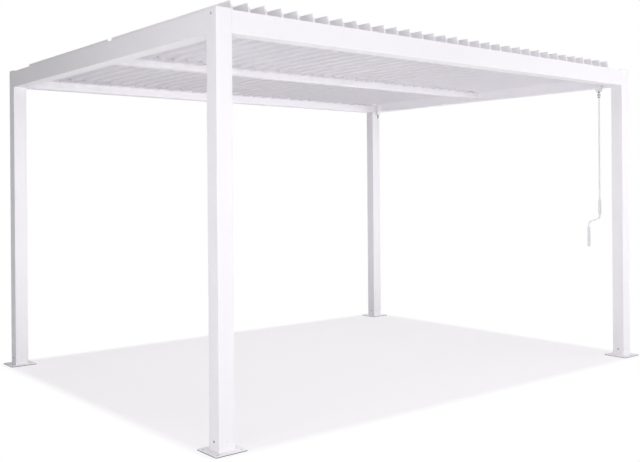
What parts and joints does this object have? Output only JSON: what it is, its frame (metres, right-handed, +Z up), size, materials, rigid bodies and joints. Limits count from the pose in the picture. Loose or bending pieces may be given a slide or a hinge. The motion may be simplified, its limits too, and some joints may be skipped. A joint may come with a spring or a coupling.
{
  "type": "louvred roof pergola",
  "caption": "Free-standing white pergola: corner posts on foot plates carry a gutter frame with a middle beam and bays of tilting roof louvres, worked by a hanging crank.",
  "frame": {"origin": "on the ground, under the middle of the roof", "axes": "X to the right along the long side, with the crank near the right end; Y along the short side from front to rear; Z up"},
  "size_m": [4.1, 3.3, 2.4554],
  "materials": {
    "frame": "matt white powder coat on aluminium",
    "gutter": "matt white powder coat on aluminium",
    "foot_plate": "matt white powder coat on aluminium",
    "cap": "white moulded plastic",
    "blade": "matt white powder coat on aluminium",
    "bearing": "light grey moulded nylon",
    "gearbox": "white painted casting",
    "link_bar": "plain drawn aluminium",
    "eye": "zinc plated steel",
    "crank": "white powder coat on steel tube",
    "grip": "white moulded plastic"
  },
  "bodies": {
    "frame": {"front_left_post": "frame", "rear_left_post": "frame", "front_right_post": "frame", "rear_right_post": "frame", "foot_plates": "foot_plate", "post_caps": "cap", "front_beam": "frame", "rear_beam": "frame", "left_beam": "frame", "right_beam": "frame", "front_gutter": "gutter", "rear_gutter": "gutter", "left_gutter": "gutter", "right_gutter": "gutter", "middle_beam": "frame", "bearing_strips": "bearing", "front_operator": "gearbox", "rear_operator": "gearbox"},
    "crank": {"front_operator_eye": "eye", "crank_rod": "crank", "crank_grips": "grip"},
    "rear_worm": {"rear_operator_eye": "eye"},
    "link_bar": {"link_bar": "link_bar"},
    "louvre_01": {"louvre_01": "blade"},
    "louvre_02": {"louvre_02": "blade"},
    "louvre_03": {"louvre_03": "blade"},
    "louvre_04": {"louvre_04": "blade"},
    "louvre_05": {"louvre_05": "blade"},
    "louvre_06": {"louvre_06": "blade"},
    "louvre_07": {"louvre_07": "blade"},
    "louvre_08": {"louvre_08": "blade"},
    "louvre_09": {"louvre_09": "blade"},
    "louvre_10": {"louvre_10": "blade"},
    "louvre_11": {"louvre_11": "blade"},
    "louvre_12": {"louvre_12": "blade"},
    "louvre_13": {"louvre_13": "blade"},
    "louvre_14": {"louvre_14": "blade"},
    "louvre_15": {"louvre_15": "blade"},
    "louvre_16": {"louvre_16": "blade"},
    "louvre_17": {"louvre_17": "blade"},
    "louvre_18": {"louvre_18": "blade"},
    "louvre_19": {"louvre_19": "blade"},
    "louvre_20": {"louvre_20": "blade"},
    "louvre_21": {"louvre_21": "blade"},
    "louvre_22": {"louvre_22": "blade"},
    "louvre_23": {"louvre_23": "blade"},
    "louvre_24": {"louvre_24": "blade"},
    "louvre_25": {"louvre_25": "blade"},
    "louvre_26": {"louvre_26": "blade"},
    "louvre_27": {"louvre_27": "blade"},
    "louvre_28": {"louvre_28": "blade"},
    "louvre_29": {"louvre_29": "blade"},
    "louvre_30": {"louvre_30": "blade"},
    "louvre_31": {"louvre_31": "blade"},
    "louvre_32": {"louvre_32": "blade"},
    "louvre_33": {"louvre_33": "blade"}
  },
  "joints": [
    {"name": "crank_turn", "type": "hinge", "parent": "frame", "child": "crank", "pos_m": [1.8818, -1.39405, 2.218], "axis": [0, 0, 1], "range_deg": [-960, 40]},
    {"name": "tilt_01", "type": "hinge", "parent": "frame", "child": "louvre_01", "pos_m": [-1.852, 0, 2.373], "axis": [0, -1, 0], "range_deg": [-96, 4]},
    {"name": "tilt_02", "type": "hinge", "parent": "frame", "child": "louvre_02", "pos_m": [-1.7375, 0, 2.373], "axis": [0, -1, 0], "range_deg": [-96, 4]},
    {"name": "tilt_03", "type": "hinge", "parent": "frame", "child": "louvre_03", "pos_m": [-1.623, 0, 2.373], "axis": [0, -1, 0], "range_deg": [-96, 4]},
    {"name": "tilt_04", "type": "hinge", "parent": "frame", "child": "louvre_04", "pos_m": [-1.5085, 0, 2.373], "axis": [0, -1, 0], "range_deg": [-96, 4]},
    {"name": "tilt_05", "type": "hinge", "parent": "frame", "child": "louvre_05", "pos_m": [-1.394, 0, 2.373], "axis": [0, -1, 0], "range_deg": [-96, 4]},
    {"name": "tilt_06", "type": "hinge", "parent": "frame", "child": "louvre_06", "pos_m": [-1.2795, 0, 2.373], "axis": [0, -1, 0], "range_deg": [-96, 4]},
    {"name": "tilt_07", "type": "hinge", "parent": "frame", "child": "louvre_07", "pos_m": [-1.165, 0, 2.373], "axis": [0, -1, 0], "range_deg": [-96, 4]},
    {"name": "tilt_08", "type": "hinge", "parent": "frame", "child": "louvre_08", "pos_m": [-1.0505, 0, 2.373], "axis": [0, -1, 0], "range_deg": [-96, 4]},
    {"name": "tilt_09", "type": "hinge", "parent": "frame", "child": "louvre_09", "pos_m": [-0.936, 0, 2.373], "axis": [0, -1, 0], "range_deg": [-96, 4]},
    {"name": "tilt_10", "type": "hinge", "parent": "frame", "child": "louvre_10", "pos_m": [-0.8215, 0, 2.373], "axis": [0, -1, 0], "range_deg": [-96, 4]},
    {"name": "tilt_11", "type": "hinge", "parent": "frame", "child": "louvre_11", "pos_m": [-0.707, 0, 2.373], "axis": [0, -1, 0], "range_deg": [-96, 4]},
    {"name": "tilt_12", "type": "hinge", "parent": "frame", "child": "louvre_12", "pos_m": [-0.5925, 0, 2.373], "axis": [0, -1, 0], "range_deg": [-96, 4]},
    {"name": "tilt_13", "type": "hinge", "parent": "frame", "child": "louvre_13", "pos_m": [-0.478, 0, 2.373], "axis": [0, -1, 0], "range_deg": [-96, 4]},
    {"name": "tilt_14", "type": "hinge", "parent": "frame", "child": "louvre_14", "pos_m": [-0.3635, 0, 2.373], "axis": [0, -1, 0], "range_deg": [-96, 4]},
    {"name": "tilt_15", "type": "hinge", "parent": "frame", "child": "louvre_15", "pos_m": [-0.249, 0, 2.373], "axis": [0, -1, 0], "range_deg": [-96, 4]},
    {"name": "tilt_16", "type": "hinge", "parent": "frame", "child": "louvre_16", "pos_m": [-0.1345, 0, 2.373], "axis": [0, -1, 0], "range_deg": [-96, 4]},
    {"name": "tilt_17", "type": "hinge", "parent": "frame", "child": "louvre_17", "pos_m": [-0.02, 0, 2.373], "axis": [0, -1, 0], "range_deg": [-96, 4]},
    {"name": "tilt_18", "type": "hinge", "parent": "frame", "child": "louvre_18", "pos_m": [0.0945, 0, 2.373], "axis": [0, -1, 0], "range_deg": [-96, 4]},
    {"name": "tilt_19", "type": "hinge", "parent": "frame", "child": "louvre_19", "pos_m": [0.209, 0, 2.373], "axis": [0, -1, 0], "range_deg": [-96, 4]},
    {"name": "tilt_20", "type": "hinge", "parent": "frame", "child": "louvre_20", "pos_m": [0.3235, 0, 2.373], "axis": [0, -1, 0], "range_deg": [-96, 4]},
    {"name": "tilt_21", "type": "hinge", "parent": "frame", "child": "louvre_21", "pos_m": [0.438, 0, 2.373], "axis": [0, -1, 0], "range_deg": [-96, 4]},
    {"name": "tilt_22", "type": "hinge", "parent": "frame", "child": "louvre_22", "pos_m": [0.5525, 0, 2.373], "axis": [0, -1, 0], "range_deg": [-96, 4]},
    {"name": "tilt_23", "type": "hinge", "parent": "frame", "child": "louvre_23", "pos_m": [0.667, 0, 2.373], "axis": [0, -1, 0], "range_deg": [-96, 4]},
    {"name": "tilt_24", "type": "hinge", "parent": "frame", "child": "louvre_24", "pos_m": [0.7815, 0, 2.373], "axis": [0, -1, 0], "range_deg": [-96, 4]},
    {"name": "tilt_25", "type": "hinge", "parent": "frame", "child": "louvre_25", "pos_m": [0.896, 0, 2.373], "axis": [0, -1, 0], "range_deg": [-96, 4]},
    {"name": "tilt_26", "type": "hinge", "parent": "frame", "child": "louvre_26", "pos_m": [1.0105, 0, 2.373], "axis": [0, -1, 0], "range_deg": [-96, 4]},
    {"name": "tilt_27", "type": "hinge", "parent": "frame", "child": "louvre_27", "pos_m": [1.125, 0, 2.373], "axis": [0, -1, 0], "range_deg": [-96, 4]},
    {"name": "tilt_28", "type": "hinge", "parent": "frame", "child": "louvre_28", "pos_m": [1.2395, 0, 2.373], "axis": [0, -1, 0], "range_deg": [-96, 4]},
    {"name": "tilt_29", "type": "hinge", "parent": "frame", "child": "louvre_29", "pos_m": [1.354, 0, 2.373], "axis": [0, -1, 0], "range_deg": [-96, 4]},
    {"name": "tilt_30", "type": "hinge", "parent": "frame", "child": "louvre_30", "pos_m": [1.4685, 0, 2.373], "axis": [0, -1, 0], "range_deg": [-96, 4]},
    {"name": "tilt_31", "type": "hinge", "parent": "frame", "child": "louvre_31", "pos_m": [1.583, 0, 2.373], "axis": [0, -1, 0], "range_deg": [-96, 4]},
    {"name": "tilt_32", "type": "hinge", "parent": "frame", "child": "louvre_32", "pos_m": [1.6975, 0, 2.373], "axis": [0, -1, 0], "range_deg": [-96, 4]},
    {"name": "tilt_33", "type": "hinge", "parent": "frame", "child": "louvre_33", "pos_m": [1.812, 0, 2.373], "axis": [0, -1, 0], "range_deg": [-96, 4]},
    {"name": "link_bar_pivot", "type": "hinge", "parent": "louvre_17", "child": "link_bar", "pos_m": [0.00824, -1.5355, 2.34757], "axis": [0, -1, 0], "range_deg": [-4, 96]},
    {"name": "rear_worm_turn", "type": "hinge", "parent": "frame", "child": "rear_worm", "pos_m": [1.8818, 1.39405, 2.218], "axis": [0, 0, 1], "range_deg": [-960, 40]}
  ],
  "couplings": [
    {"joint": "tilt_01", "follows": "crank_turn", "ratio": 0.1},
    {"joint": "tilt_02", "follows": "crank_turn", "ratio": 0.1},
    {"joint": "tilt_03", "follows": "crank_turn", "ratio": 0.1},
    {"joint": "tilt_04", "follows": "crank_turn", "ratio": 0.1},
    {"joint": "tilt_05", "follows": "crank_turn", "ratio": 0.1},
    {"joint": "tilt_06", "follows": "crank_turn", "ratio": 0.1},
    {"joint": "tilt_07", "follows": "crank_turn", "ratio": 0.1},
    {"joint": "tilt_08", "follows": "crank_turn", "ratio": 0.1},
    {"joint": "tilt_09", "follows": "crank_turn", "ratio": 0.1},
    {"joint": "tilt_10", "follows": "crank_turn", "ratio": 0.1},
    {"joint": "tilt_11", "follows": "crank_turn", "ratio": 0.1},
    {"joint": "tilt_12", "follows": "crank_turn", "ratio": 0.1},
    {"joint": "tilt_13", "follows": "crank_turn", "ratio": 0.1},
    {"joint": "tilt_14", "follows": "crank_turn", "ratio": 0.1},
    {"joint": "tilt_15", "follows": "crank_turn", "ratio": 0.1},
    {"joint": "tilt_16", "follows": "crank_turn", "ratio": 0.1},
    {"joint": "tilt_17", "follows": "crank_turn", "ratio": 0.1},
    {"joint": "tilt_18", "follows": "crank_turn", "ratio": 0.1},
    {"joint": "tilt_19", "follows": "crank_turn", "ratio": 0.1},
    {"joint": "tilt_20", "follows": "crank_turn", "ratio": 0.1},
    {"joint": "tilt_21", "follows": "crank_turn", "ratio": 0.1},
    {"joint": "tilt_22", "follows": "crank_turn", "ratio": 0.1},
    {"joint": "tilt_23", "follows": "crank_turn", "ratio": 0.1},
    {"joint": "tilt_24", "follows": "crank_turn", "ratio": 0.1},
    {"joint": "tilt_25", "follows": "crank_turn", "ratio": 0.1},
    {"joint": "tilt_26", "follows": "crank_turn", "ratio": 0.1},
    {"joint": "tilt_27", "follows": "crank_turn", "ratio": 0.1},
    {"joint": "tilt_28", "follows": "crank_turn", "ratio": 0.1},
    {"joint": "tilt_29", "follows": "crank_turn", "ratio": 0.1},
    {"joint": "tilt_30", "follows": "crank_turn", "ratio": 0.1},
    {"joint": "tilt_31", "follows": "crank_turn", "ratio": 0.1},
    {"joint": "tilt_32", "follows": "crank_turn", "ratio": 0.1},
    {"joint": "tilt_33", "follows": "crank_turn", "ratio": 0.1},
    {"joint": "link_bar_pivot", "follows": "crank_turn", "ratio": -0.1},
    {"joint": "rear_worm_turn", "follows": "crank_turn", "ratio": 1}
  ]
}
